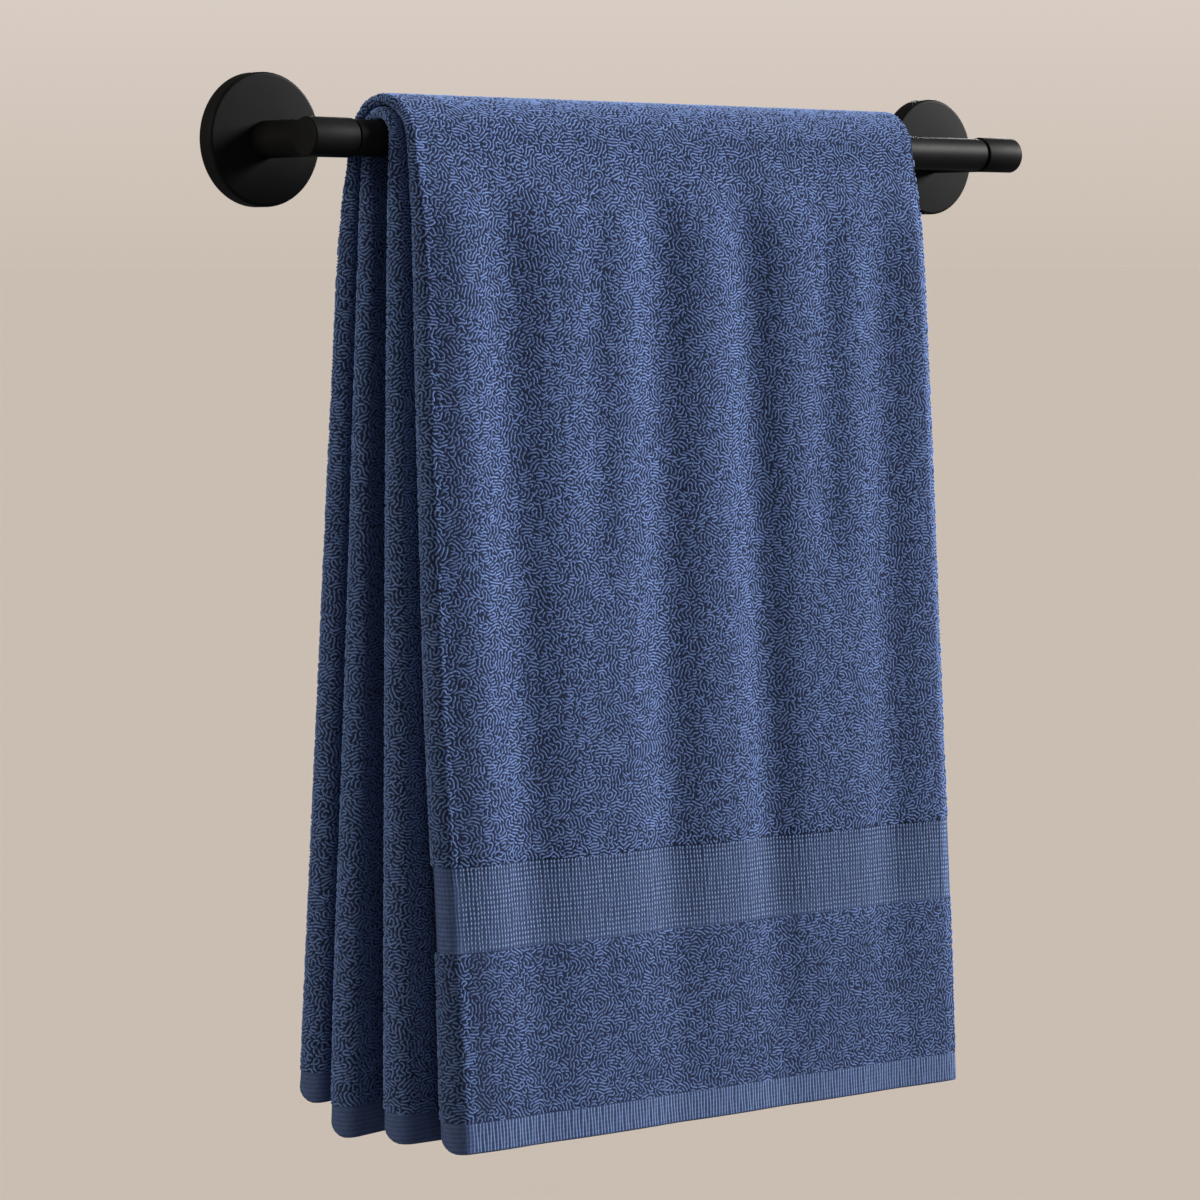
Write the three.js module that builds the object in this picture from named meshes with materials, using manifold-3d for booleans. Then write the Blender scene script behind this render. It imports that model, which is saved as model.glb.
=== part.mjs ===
// Bath towel hung over its wall-mounted towel bar, in millimetres, +Z up.
// The wall is the plane Y = 0 and the room lies towards -Y. The origin is the centre of the
// left wall plate's back face, and +X runs along the bar.
// The towel is one piece of terry cloth, folded back and forth into four layers and hung
// over the bar with its two rounded folds on the left. Layer 1 lies outermost, on the front
// and on the back, and layer 4 lies on the bar. Fold A joins layers 1 and 2, fold B joins
// layers 3 and 4, both on the left, and fold C joins layers 2 and 3 on the right.
import * as THREE from "three";
import { mergeVertices } from "three/addons/utils/BufferGeometryUtils.js";
import Module from "manifold-3d";

const wasm = await Module();
wasm.setup();

// Bar set
const BAR_SPAN = 457; // between the centres of the two wall plates
const SEAT_GAP = 0.3; // between pieces that are screwed or pressed together
const PLATE_RADIUS = 32;
const PLATE_THICK = 9;
const PLATE_EDGE = 1.6; // rounding of the plate's front rim
const POST_RADIUS = 9;
const AXIS_OUT = 56; // from the wall to the bar's axis
const SLEEVE_RADIUS = 9.4;
const SLEEVE_OUTER = 12.5; // from the post's axis to the sleeve's closed end
const SLEEVE_INNER = 13.5; // from the post's axis to the sleeve's open end
const SLEEVE_EDGE = 1.2; // rounding of the closed end
const BAR_RADIUS = 8.7;
const NECK_RADIUS = 7.9; // the groove between the bar and its sleeve
const NECK_LENGTH = 0.9;
const ROUND_SIDES = 40;
const EDGE_STEPS = 3;

// Cloth
const ARCH_THICK = 2.75; // pile pressed flat over the bar
const DROP_THICK = 4.2; // pile standing free below the bar
const LAYER_GAP = 0.5; // between neighbouring layers over the bar
const LOOSE_GAP = 1.6; // between layers 1 and 2, and 3 and 4, at the right of the drops
const THICKEN_BY = 45; // the drop over which the pile rises to its full height
const HEM_THICK = 2.6;
const HEM_DEPTH = 15;
const END_ROUNDING = 1; // the hem's lower edge is rounded over this drop
const BAND_TOP = 342; // the flat woven border, on the front of fold A alone
const BAND_BOTTOM = 383;
const BAND_RECESS = 1.5;
const STEP = 0.6; // the drop over which the pile starts or stops

// Layer centres over the bar, outwards from its axis
const PITCH = ARCH_THICK + LAYER_GAP;
const LAYER_4 = BAR_RADIUS + SEAT_GAP + ARCH_THICK / 2;
const ARCH_FOLD_B = LAYER_4 + PITCH / 2;
const ARCH_FOLD_C = LAYER_4 + PITCH * 1.5;
const ARCH_FOLD_A = LAYER_4 + PITCH * 2.5;

// The hanging halves, a row for each depth below the bar's axis.
// drop: depth below the axis; puff: half the distance between a fold's two layers;
// foldA, foldB, foldC: distance of each fold's centre from the plane through the bar;
// leftA, leftB: X of the two left folds' outermost points; right: X of layer 1's right edge;
// tuckC, tuck4: how far inside that edge fold C and layer 4 end.
const FRONT = {
  length: 478, // of layers 1 and 2, at the left
  innerLength: 475, // of layers 3 and 4
  askew: 18, // how much lower the right corner hangs
  rows: [
    { drop: 0, puff: PITCH / 2, foldA: ARCH_FOLD_A, foldB: ARCH_FOLD_B, foldC: ARCH_FOLD_C,
      leftA: 33.5, leftB: 28.0, right: 371, tuckC: 4, tuck4: 7 },
    { drop: 40, puff: 3.0, foldA: 22.8, foldB: 12.0, foldC: 17.2,
      leftA: 33.2, leftB: 27.4, right: 372.5, tuckC: 5, tuck4: 8.5 },
    { drop: 110, puff: 3.7, foldA: 24.6, foldB: 12.2, foldC: 18.2,
      leftA: 33.8, leftB: 26.4, right: 376.5, tuckC: 6.5, tuck4: 10.5 },
    { drop: 200, puff: 4.5, foldA: 26.6, foldB: 12.4, foldC: 19.4,
      leftA: 35.0, leftB: 25.4, right: 380.5, tuckC: 8, tuck4: 13 },
    { drop: 300, puff: 5.4, foldA: 28.8, foldB: 12.4, foldC: 20.6,
      leftA: 37.2, leftB: 24.8, right: 385, tuckC: 10, tuck4: 15.5 },
    { drop: 370, puff: 6.2, foldA: 30.8, foldB: 12.4, foldC: 21.6,
      leftA: 40.0, leftB: 24.4, right: 388, tuckC: 11.5, tuck4: 17.5 },
    { drop: 480, puff: 7.8, foldA: 34.0, foldB: 12.4, foldC: 23.2,
      leftA: 41.4, leftB: 24.2, right: 391, tuckC: 14, tuck4: 20 },
  ],
};
const BACK = {
  length: 460,
  innerLength: 474,
  askew: -8,
  rows: [
    { drop: 0, puff: PITCH / 2, foldA: ARCH_FOLD_A, foldB: ARCH_FOLD_B, foldC: ARCH_FOLD_C,
      leftA: 28.4, leftB: 30.7, right: 371, tuckC: 4, tuck4: 7 },
    { drop: 40, puff: 3.0, foldA: 22.8, foldB: 12.0, foldC: 17.2,
      leftA: 25.8, leftB: 29.0, right: 373, tuckC: 5, tuck4: 8.5 },
    { drop: 110, puff: 3.7, foldA: 24.4, foldB: 12.2, foldC: 18.2,
      leftA: 22.2, leftB: 26.0, right: 375, tuckC: 6.5, tuck4: 10.5 },
    { drop: 200, puff: 4.5, foldA: 26.4, foldB: 12.4, foldC: 19.2,
      leftA: 18.2, leftB: 22.4, right: 377, tuckC: 8, tuck4: 13 },
    { drop: 300, puff: 5.4, foldA: 28.4, foldB: 12.4, foldC: 20.2,
      leftA: 13.8, leftB: 17.8, right: 379, tuckC: 10, tuck4: 15.5 },
    { drop: 370, puff: 6.1, foldA: 30.0, foldB: 12.4, foldC: 21.0,
      leftA: 10.8, leftB: 14.2, right: 380, tuckC: 11.5, tuck4: 17.5 },
    { drop: 480, puff: 7.2, foldA: 32.4, foldB: 12.4, foldC: 22.2,
      leftA: 6.2, leftB: 10.4, right: 382, tuckC: 14, tuck4: 20 },
  ],
};
const FRONT_DROPS = [10, 24, 42, 70, 105, 145, 190, 240, 290];
const FRONT_LOW_DROPS = [410, 438];
const BACK_DROPS = [10, 24, 42, 75, 120, 175, 240, 310, 380];
const ARCH_STEPS = 10;

// Soft upright troughs in layer 1, a row for each.
// x: at the top; drift: how far it has moved to the right at the hem; width: half its width;
// depth: how far it sinks; from, to: the drops between which it shows.
const FRONT_TROUGHS = [
  { x: 90, drift: 12, width: 16, depth: 4.2, from: 35, to: 600 },
  { x: 139, drift: -4, width: 10, depth: 1.6, from: 20, to: 400 },
  { x: 189, drift: 6, width: 19, depth: 5.0, from: 25, to: 600 },
  { x: 245, drift: 22, width: 14, depth: 4.6, from: 25, to: 520 },
  { x: 304, drift: -4, width: 10, depth: 1.8, from: 15, to: 190 },
  { x: 347, drift: 4, width: 15, depth: 3.0, from: 40, to: 600 },
];
const BACK_TROUGHS = [
  { x: 104, drift: -14, width: 18, depth: 3.8, from: 40, to: 600 },
  { x: 172, drift: -8, width: 15, depth: 3.0, from: 60, to: 600 },
  { x: 231, drift: 8, width: 20, depth: 4.4, from: 30, to: 600 },
  { x: 312, drift: 10, width: 17, depth: 3.6, from: 50, to: 600 },
];
const TROUGH_LIFT = 3.8; // layer 1 stands out by this much between its troughs
const LIFT_FROM = 15; // the drop at which it starts to stand out
const TROUGH_FADE = 70; // the drop over which a trough sets in or dies out
const FOLD_CLEAR = 30; // the width beside a fold over which troughs set in

// Points of the section
const FACE_STEPS = 20; // across layer 1, the one that shows
const HIDDEN_STEPS = 4; // across the other layers
const FOLD_STEPS = 7; // round a fold

const blackMetal = new THREE.MeshStandardMaterial({ color: 0x1b1b1d, roughness: 0.55, metalness: 0.6 });
const blueTerry = new THREE.MeshStandardMaterial({ color: 0x3a5694, roughness: 0.95, metalness: 0 });

const lerp = THREE.MathUtils.lerp;
const smooth = THREE.MathUtils.smoothstep;

// A rounded stretch of a turned profile, from one angle to another, in degrees.
function arc(centreR, centreY, radius, from, to) {
  const points = [];
  for (let i = 0; i <= EDGE_STEPS; i++) {
    const angle = THREE.MathUtils.degToRad(lerp(from, to, i / EDGE_STEPS));
    points.push([centreR + radius * Math.cos(angle), centreY + radius * Math.sin(angle)]);
  }
  return points;
}

// A turned piece about the Y axis, its profile listed from low Y to high Y.
function turned(profile) {
  const points = profile.map(([r, y]) => new THREE.Vector2(r, y));
  return new THREE.LatheGeometry(points, ROUND_SIDES);
}

// A turned piece about the X axis, its profile listed from low X to high X.
function turnedAlongX(profile) {
  return turned(profile).rotateZ(-Math.PI / 2);
}

function toSolid(geometry) {
  const bare = geometry.clone();
  bare.deleteAttribute("normal");
  bare.deleteAttribute("uv");
  const merged = mergeVertices(bare, 1e-4);
  return new wasm.Manifold(
    new wasm.Mesh({
      numProp: 3,
      vertProperties: merged.attributes.position.array,
      triVerts: new Uint32Array(merged.index.array),
    }),
  );
}

function toGeometry(solid) {
  const mesh = solid.getMesh();
  const geometry = new THREE.BufferGeometry();
  geometry.setAttribute("position", new THREE.BufferAttribute(mesh.vertProperties, 3));
  geometry.setIndex(new THREE.BufferAttribute(mesh.triVerts, 1));
  geometry.computeVertexNormals();
  return geometry;
}

// A round wall plate: flat back on the wall, rounded front rim.
function wallPlate() {
  const rim = arc(PLATE_RADIUS - PLATE_EDGE, -PLATE_THICK + PLATE_EDGE, PLATE_EDGE, -90, 0);
  return turned([[0, -PLATE_THICK], ...rim, [PLATE_RADIUS, 0], [0, 0]]);
}

// The closed sleeve that caps the bar's end, with its outer end at low X.
function sleeve() {
  const rim = arc(SLEEVE_RADIUS - SLEEVE_EDGE, -SLEEVE_OUTER + SLEEVE_EDGE, SLEEVE_EDGE, -90, 0);
  return turnedAlongX([
    [0, -SLEEVE_OUTER],
    ...rim,
    [SLEEVE_RADIUS, SLEEVE_INNER],
    [0, SLEEVE_INNER],
  ]);
}

// A post from the plate to the sleeve, its end hollowed to the sleeve's roundness.
function post() {
  const start = -PLATE_THICK - SEAT_GAP;
  const stem = turned([[0, -AXIS_OUT], [POST_RADIUS, -AXIS_OUT], [POST_RADIUS, start], [0, start]]);
  const seat = SLEEVE_RADIUS + SEAT_GAP;
  const saddle = turnedAlongX([[0, -2 * seat], [seat, -2 * seat], [seat, 2 * seat], [0, 2 * seat]]);
  saddle.translate(0, -AXIS_OUT, 0);
  return toGeometry(toSolid(stem).subtract(toSolid(saddle)));
}

// The bar between the sleeves, with a narrow neck at each end.
function bar() {
  const from = SLEEVE_INNER + SEAT_GAP;
  const to = BAR_SPAN - from;
  return turnedAlongX([
    [0, from],
    [NECK_RADIUS, from],
    [NECK_RADIUS, from + NECK_LENGTH],
    [BAR_RADIUS, from + NECK_LENGTH],
    [BAR_RADIUS, to - NECK_LENGTH],
    [NECK_RADIUS, to - NECK_LENGTH],
    [NECK_RADIUS, to],
    [0, to],
  ]);
}

// A half's row at any drop, read smoothly between its rows.
function rowReader(half) {
  const names = Object.keys(half.rows[0]).filter((name) => name !== "drop");
  const drops = half.rows.map((row) => row.drop);
  const values = half.rows.flatMap((row) => names.map((name) => row[name]));
  const curve = new THREE.CubicInterpolant(drops, values, names.length);
  return (drop) => {
    const found = curve.evaluate(drop);
    return Object.fromEntries(names.map((name, i) => [name, found[i]]));
  };
}

// How far layer 1 stands out of its plain plane at a place on a half.
function troughs(rows, x, drop, length, row) {
  let out = TROUGH_LIFT * smooth(drop, LIFT_FROM, LIFT_FROM + TROUGH_FADE);
  for (const t of rows) {
    const centre = t.x + t.drift * (drop / length);
    const setIn = smooth(drop, t.from, t.from + TROUGH_FADE);
    const shown = setIn * (1 - smooth(drop, t.to - TROUGH_FADE, t.to));
    out -= t.depth * shown * Math.exp(-(((x - centre) / t.width) ** 2));
  }
  const fromLeft = smooth(x, row.leftA + FOLD_CLEAR / 2, row.leftA + FOLD_CLEAR * 1.5);
  const fromRight = 1 - smooth(x, row.right - FOLD_CLEAR / 3, row.right);
  return out * fromLeft * fromRight;
}

// One station of the sweep: its section's sizes and the way to place a section point in space.
function dropStation(half, direction, rows, read, drop) {
  const row = read(drop);
  const hemTop = half.length - HEM_DEPTH;
  let thick = lerp(ARCH_THICK, DROP_THICK, smooth(drop, 0, THICKEN_BY));
  if (drop > hemTop) thick = HEM_THICK;
  if (drop >= half.length) thick = HEM_THICK / 2;
  const inBand = half === FRONT && drop > BAND_TOP && drop < BAND_BOTTOM;
  return {
    ...row,
    thick,
    gap: lerp(LAYER_GAP, LOOSE_GAP, smooth(drop, 0, THICKEN_BY)),
    recess: inBand ? BAND_RECESS : 0,
    out: (x) => troughs(rows, x, drop, half.length, row),
    place: (x, n, inner) => {
      const length = lerp(half.length, half.innerLength, inner);
      const skew = 1 + (half.askew / half.length) * ((x - row.leftA) / (row.right - row.leftA));
      return [x, -AXIS_OUT + direction * n, -drop * (length / half.length) * skew];
    },
  };
}

function archStation(angle, share) {
  const back = BACK.rows[0];
  const front = FRONT.rows[0];
  const between = (name) => [name, lerp(back[name], front[name], share)];
  const row = Object.fromEntries(Object.keys(front).map(between));
  return {
    ...row,
    thick: ARCH_THICK,
    gap: LAYER_GAP,
    recess: 0,
    out: () => 0,
    place: (x, n) => [x, -AXIS_OUT - n * Math.sin(angle), n * Math.cos(angle)],
  };
}

// The closed outline of the four layers at a station, as [x, n, inner] with n the distance
// from the bar's plane or axis, and inner 1 on layers 3 and 4.
function section(s) {
  const half = s.thick / 2;
  const pitch = s.thick + s.gap;
  const left = [s.foldA + s.puff, s.foldA - s.puff, s.foldB + s.puff, s.foldB - s.puff];
  const right2 = s.foldC + s.puff;
  const right3 = s.foldC - s.puff;
  const right = [right2 + pitch, right2, right3, right3 - pitch];
  const foldCentre = {
    A: s.leftA + s.puff + half,
    B: s.leftB + s.puff + half,
    C: s.right - s.tuckC - s.puff - half,
  };
  const from = [foldCentre.A, foldCentre.A, foldCentre.B, foldCentre.B];
  const to = [s.right - half, foldCentre.C, foldCentre.C, s.right - s.tuck4 - half];
  const inner = [0, 0, 1, 1];

  // A face of a layer, side +1 outwards and -1 towards the bar, from right to left or back.
  function face(layer, side, leftwards, steps, recess = 0) {
    const points = [];
    for (let i = 0; i <= steps; i++) {
      const share = leftwards ? 1 - i / steps : i / steps;
      const x = lerp(from[layer], to[layer], share);
      const plain = lerp(left[layer], right[layer], smooth(share, 0, 1));
      const centre = layer === 0 ? plain + s.out(x) : plain;
      points.push([x, centre + side * (half - recess), inner[layer]]);
    }
    return points;
  }

  // The round of a fold between two faces, without its end points.
  function round(centreX, centreN, radius, sign, outwardsFirst, innerFrom, innerTo) {
    const points = [];
    for (let i = 1; i < FOLD_STEPS; i++) {
      const share = i / FOLD_STEPS;
      const angle = (outwardsFirst ? 0.5 - share : share - 0.5) * Math.PI;
      points.push([
        centreX + sign * radius * Math.cos(angle),
        centreN + radius * Math.sin(angle),
        lerp(innerFrom, innerTo, share),
      ]);
    }
    return points;
  }

  const wide = s.puff + half;
  const tight = s.puff - half;
  const outside = [
    ...face(0, 1, true, FACE_STEPS, s.recess),
    ...round(foldCentre.A, s.foldA, wide - s.recess, -1, true, 0, 0),
    ...face(1, -1, false, HIDDEN_STEPS),
    ...round(foldCentre.C, s.foldC, tight, 1, true, 0, 1),
    ...face(2, 1, true, HIDDEN_STEPS),
    ...round(foldCentre.B, s.foldB, wide, -1, true, 1, 1),
    ...face(3, -1, false, HIDDEN_STEPS),
  ];
  const inside = [
    ...face(3, 1, true, HIDDEN_STEPS),
    ...round(foldCentre.B, s.foldB, tight, -1, false, 1, 1),
    ...face(2, -1, false, HIDDEN_STEPS),
    ...round(foldCentre.C, s.foldC, wide, 1, false, 1, 0),
    ...face(1, 1, true, HIDDEN_STEPS),
    ...round(foldCentre.A, s.foldA, tight, -1, false, 0, 0),
    ...face(0, -1, false, FACE_STEPS),
  ];
  const edge4 = [to[3] + half, right[3], 1];
  const edge1 = [to[0] + half, right[0], 0];
  return [...outside, edge4, ...inside, edge1];
}

function towelStations() {
  const readFront = rowReader(FRONT);
  const readBack = rowReader(BACK);
  const hemDrops = (half) => {
    const hemTop = half.length - HEM_DEPTH;
    return [hemTop - STEP / 2, hemTop + STEP / 2, half.length - END_ROUNDING, half.length];
  };
  const bandDrops = [
    BAND_TOP - STEP / 2,
    BAND_TOP + STEP / 2,
    (BAND_TOP + BAND_BOTTOM) / 2,
    BAND_BOTTOM - STEP / 2,
    BAND_BOTTOM + STEP / 2,
  ];
  const backDrops = [...BACK_DROPS, ...hemDrops(BACK)].reverse();
  const frontDrops = [...FRONT_DROPS, ...bandDrops, ...FRONT_LOW_DROPS, ...hemDrops(FRONT)];
  const stations = backDrops.map((drop) => dropStation(BACK, 1, BACK_TROUGHS, readBack, drop));
  for (let i = 0; i <= ARCH_STEPS; i++) {
    const share = i / ARCH_STEPS;
    stations.push(archStation((share - 0.5) * Math.PI, share));
  }
  stations.push(...frontDrops.map((drop) => dropStation(FRONT, -1, FRONT_TROUGHS, readFront, drop)));
  return stations;
}

// The sections joined into one closed surface, with a flat lid on each hem.
function towel() {
  const positions = [];
  const indices = [];
  const stations = towelStations();
  const loops = stations.map(section);
  const count = loops[0].length;
  stations.forEach((station, i) => {
    loops[i].forEach(([x, n, inner]) => positions.push(...station.place(x, n, inner)));
  });
  for (let i = 0; i + 1 < stations.length; i++) {
    for (let j = 0; j < count; j++) {
      const a = i * count + j;
      const b = i * count + ((j + 1) % count);
      indices.push(a, b, b + count, a, b + count, a + count);
    }
  }
  // A lid runs along the cloth like a ladder, between the outline's two sides.
  const side = (count - 2) / 2;
  const lid = (station, flip) => {
    const start = station * count;
    const add = (...corners) => {
      if (flip) corners.reverse();
      indices.push(...corners.map((k) => start + k));
    };
    for (let k = 0; k + 1 < side; k++) {
      const across = count - 2 - k;
      add(k, k + 1, across - 1);
      add(k, across - 1, across);
    }
    add(side - 1, side, side + 1);
    add(count - 2, count - 1, 0);
  };
  lid(0, true);
  lid(stations.length - 1, false);
  const geometry = new THREE.BufferGeometry();
  geometry.setAttribute("position", new THREE.Float32BufferAttribute(positions, 3));
  geometry.setIndex(indices);
  geometry.computeVertexNormals();
  return geometry;
}

function piece(name, geometry, material) {
  const mesh = new THREE.Mesh(geometry, material.clone());
  mesh.name = name;
  return mesh;
}

const group = new THREE.Group();
for (const [side, x] of [["left", 0], ["right", BAR_SPAN]]) {
  const bracket = new THREE.Group();
  bracket.position.x = x;
  const cap = piece(`sleeve_${side}`, sleeve(), blackMetal);
  cap.position.y = -AXIS_OUT;
  cap.rotation.z = side === "left" ? 0 : Math.PI;
  const plate = piece(`plate_${side}`, wallPlate(), blackMetal);
  const stem = piece(`post_${side}`, post(), blackMetal);
  bracket.add(plate, stem, cap);
  group.add(bracket);
}
const rail = piece("bar", bar(), blackMetal);
rail.position.y = -AXIS_OUT;
group.add(rail, piece("towel", towel(), blueTerry));

export default group;
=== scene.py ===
"""A blue terry bath towel hung over its wall-mounted towel bar: the looks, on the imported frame.

Lengths are millimetres, as in the part's own source, and MM turns them into metres.
The wall is the plane Y = 0, the room lies towards -Y, +X runs along the bar and +Z is up.

The towel is one cloth, folded back and forth into four layers and hung over the bar. Layer 0
lies outermost and layer 3 on the bar. Fold A joins layers 0 and 1, fold B layers 2 and 3, both
on the left, and fold C layers 1 and 2 on the right.

Places on the cloth are given by v, the distance along it from the top of the arch, and in the
section there by x, along the bar, and n, outwards from it.
"""

import math

import bmesh
import bpy
import numpy as np
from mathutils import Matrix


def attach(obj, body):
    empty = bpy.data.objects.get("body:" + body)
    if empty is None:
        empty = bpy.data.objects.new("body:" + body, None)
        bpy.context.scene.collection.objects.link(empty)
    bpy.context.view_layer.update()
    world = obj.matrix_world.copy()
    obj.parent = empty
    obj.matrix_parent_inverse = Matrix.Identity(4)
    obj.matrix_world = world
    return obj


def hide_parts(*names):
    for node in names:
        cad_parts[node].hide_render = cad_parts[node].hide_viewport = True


MM = 0.001

# Bar set
BAR_SPAN = 457
SEAT_GAP = 0.3
PLATE_RADIUS = 32
PLATE_THICK = 9
PLATE_EDGE = 1.6
POST_RADIUS = 9
AXIS_OUT = 56
SLEEVE_RADIUS = 9.4
SLEEVE_OUTER = 12.5
SLEEVE_INNER = 13.5
SLEEVE_EDGE = 1.2
SLEEVE_LIP = 0.5
BAR_RADIUS = 8.7
BAR_LIP = 0.4
NECK_RADIUS = 7.9
NECK_LENGTH = 0.9
LATHE_SIDES = 96
ARC_STEPS = 6
SADDLE_RINGS = 6
SHARP_ANGLE = math.radians(38)

# Cloth
ARCH_THICK = 2.75  # thickness of a layer with its loops, over the bar
DROP_THICK = 4.2  # and below it
LAYER_GAP = 0.5  # space between layers over the bar
LOOSE_GAP = 1.6  # and below it
THICKEN_BY = 45  # drop at which the cloth is no longer pressed thin
HEM_DEPTH = 15
BAND_TOP = 342
BAND_BOTTOM = 383
ARCH_PILE = 0.65  # height of the loops over the bar
DROP_PILE = 0.85  # and below it
BAND_SINK = 0.5  # the border's ground lies this far below the towel's
PITCH = ARCH_THICK + LAYER_GAP
LAYER_3 = BAR_RADIUS + SEAT_GAP + ARCH_THICK / 2
ARCH_FOLD_B = LAYER_3 + PITCH / 2
ARCH_FOLD_C = LAYER_3 + PITCH * 1.5
ARCH_FOLD_A = LAYER_3 + PITCH * 2.5
ARCH_REACH = math.pi / 2 * (ARCH_FOLD_A + PITCH)  # from the arch's top to the drop's start

# The hanging halves, a column for each size and an entry for each drop, as in the part.
FRONT = {
    "length": 478,
    "inner_length": 475,
    "askew": 18,
    "drop": [0, 40, 110, 200, 300, 370, 480],
    "puff": [PITCH / 2, 3.0, 3.7, 4.5, 5.4, 6.2, 7.8],
    "fold_a": [ARCH_FOLD_A, 22.8, 24.6, 26.6, 28.8, 30.8, 34.0],
    "fold_b": [ARCH_FOLD_B, 12.0, 12.2, 12.4, 12.4, 12.4, 12.4],
    "fold_c": [ARCH_FOLD_C, 17.2, 18.2, 19.4, 20.6, 21.6, 23.2],
    "left_a": [33.5, 33.2, 33.8, 35.0, 37.2, 40.0, 41.4],
    "left_b": [28.0, 27.4, 26.4, 25.4, 24.8, 24.4, 24.2],
    "right": [371, 372.5, 376.5, 380.5, 385, 388, 391],
    "tuck_c": [4, 5, 6.5, 8, 10, 11.5, 14],
    "tuck_3": [7, 8.5, 10.5, 13, 15.5, 17.5, 20],
}
BACK = {
    "length": 460,
    "inner_length": 474,
    "askew": -8,
    "drop": [0, 40, 110, 200, 300, 370, 480],
    "puff": [PITCH / 2, 3.0, 3.7, 4.5, 5.4, 6.1, 7.2],
    "fold_a": [ARCH_FOLD_A, 22.8, 24.4, 26.4, 28.4, 30.0, 32.4],
    "fold_b": [ARCH_FOLD_B, 12.0, 12.2, 12.4, 12.4, 12.4, 12.4],
    "fold_c": [ARCH_FOLD_C, 17.2, 18.2, 19.2, 20.2, 21.0, 22.2],
    "left_a": [28.4, 25.8, 22.2, 18.2, 13.8, 10.8, 6.2],
    "left_b": [30.7, 29.0, 26.0, 22.4, 17.8, 14.2, 10.4],
    "right": [371, 373, 375, 377, 379, 380, 382],
    "tuck_c": [4, 5, 6.5, 8, 10, 11.5, 14],
    "tuck_3": [7, 8.5, 10.5, 13, 15.5, 17.5, 20],
}
COLUMNS = [name for name in FRONT if isinstance(FRONT[name], list) and name != "drop"]

# Soft upright troughs in layer 0: x at the top, drift to the right by the hem, half width,
# depth, and the drops between which each shows.
TROUGH_NAMES = ("x", "drift", "width", "depth", "start", "stop")
FRONT_TROUGHS = [
    (82, 15, 18, 4.6, 5, 600),
    (140, -4, 11, 1.7, 0, 230),
    (182, 4, 18, 4.9, 0, 600),
    (240, 20, 16, 4.9, 0, 520),
    (298, -4, 13, 2.2, 0, 230),
    (338, 4, 17, 3.4, 10, 600),
]
BACK_TROUGHS = [
    (104, -14, 18, 3.8, 40, 600),
    (172, -8, 15, 3.0, 60, 600),
    (231, 8, 20, 4.4, 30, 600),
    (312, 10, 17, 3.6, 50, 600),
]
TROUGH_LIFT = 3.8  # how far the cloth between the troughs stands out
TROUGH_FADE = 50  # length over which a trough starts or ends
FOLD_RISE = 28  # distance over which layer 0 rises from fold A to its full height
EDGE_CLEAR = 10  # distance over which the troughs fade towards the right edge
HEM_STEADY = 0.8  # share of the troughs that the stiff hem takes out of the cloth
HEM_STEADY_FROM = 190  # and how far above the hem's end it starts to

# Rounded hem corners at the left folds, on the side towards the wall
CORNER_RISE = 6.0
CORNER_FADE = 40
CORNER_TURN = (-0.6, 0.95)  # across the fold, from -1 on its room side to 1 on its wall side

# Sheet mesh
EDGE_POINTS = 2  # in the outline, before the face of layer 0
FACE_STEPS = 70
HIDDEN_STEPS = 7
ROUND_STEPS = 10
DROP_STEP = 10.0
ARCH_STEPS = 20
EDGE_RUN = 0.25  # half the length over which the cloth steps down to the border or a hem
END_ROUNDING = 1.0
END_SHARES = (0.0, 0.5, 0.85, 1.0)
END_ROUNDED = 0.97  # how far the rounding closes at the very end

# Loops of the pile
SEED = 7
GRID = 0.5  # spacing of the grid on which their pattern is worked out
WAVE_ACROSS = 4.1  # wavelengths of the pattern, twice the spacing of neighbouring loops
WAVE_ALONG = 3.05
WAVE_SPREAD = 0.56
EVEN_ROUNDS = 4  # rounds that set the loops evenly apart
EVEN_GAIN = 2.0
LOOP_SHORTEST = 3.2
LOOP_LONGEST = 11.0
LOOP_STRETCH = 1.3  # the last loop on a line may be longer, so that no rest is left over
LOOP_OVERLAP = 0.8
LOOP_WIDTH = 1.5
LOOP_POINTS = 4  # the fewest in a loop
HEIGHT_SPREAD = (0.9, 1.0)
WIDTH_SPREAD = (0.95, 1.05)
TIP_SHARE = 0.12  # a loop rounds off at its ends, from this share of its length on
TIP_FULLNESS = 0.35
YARN_SOFTNESS = 0.75  # how far the loops' shading turns to that of the cloth beneath them
RIB_SOFTNESS = 0.35  # and that of the ribs
SIDE_FOOT = 0.17  # shade of the loops' feet and tops round the left folds, which lie in shadow
SIDE_TOP = 0.85
SHADOW_RUN = 8  # distance round a left fold in which that shadow deepens
EDGE_PAINTED_HIGHLIGHT = 1.2  # painted highlight: how much lighter the loops are on fold A's edge, and how wide it lies
EDGE_PAINTED_HIGHLIGHT_WIDTH = 3
EDGE_PAINTED_SHADE = 0.8  # painted shade: how much darker they are beside it, how far from it and how wide
EDGE_PAINTED_SHADE_AT = 8
EDGE_PAINTED_SHADE_WIDTH = 5
LOW_SHADE = 0.8  # how much darker they are by the hem than at LOW_FROM
LOW_FROM = 150
FRAY = 0.8  # how far the loops hang over the edges of the border and hems
FINE_STEP = 1.05
COARSE_STEP = 1.8
ROOT_SINK = 0.12  # how far a loop's foot reaches into the ground weave
BEYOND_A = 12  # how far the loops go on past fold A, on the face of layer 1
# How far they go on before and past the other turns, on the faces of the layers that these join
PILE_REACH = {"fold_b": (22, 24), "fold_c": (6, 5), "edge_0": (0, 2), "edge_3": (4, 2)}
PILE_LIMIT = 190000  # triangles in one piece

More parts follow.
